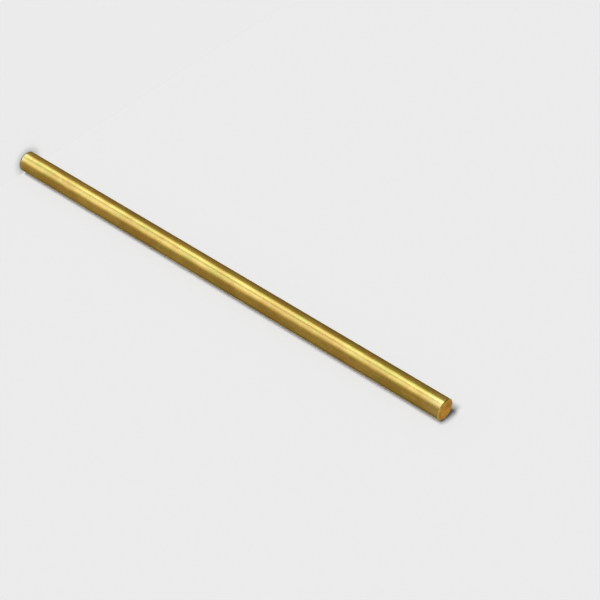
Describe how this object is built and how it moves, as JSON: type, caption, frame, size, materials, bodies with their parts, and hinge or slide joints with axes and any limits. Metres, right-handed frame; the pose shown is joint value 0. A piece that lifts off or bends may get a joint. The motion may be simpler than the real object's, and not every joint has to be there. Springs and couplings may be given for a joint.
{
  "type": "brass rod",
  "caption": "Straight solid round brass bar, cold drawn, with both ends cut square and lightly deburred.",
  "frame": {"origin": "middle of the end that the bar stands on", "axes": "+Z along the bar, up from that end; the bar is the same all round, so +X is free"},
  "size_m": [0.008, 0.008, 0.2],
  "materials": {
    "brass": "drawn, satin, lightly tarnished, with matt sawn ends"
  },
  "bodies": {
    "root": {"brass_rod": "brass"}
  },
  "joints": []
}
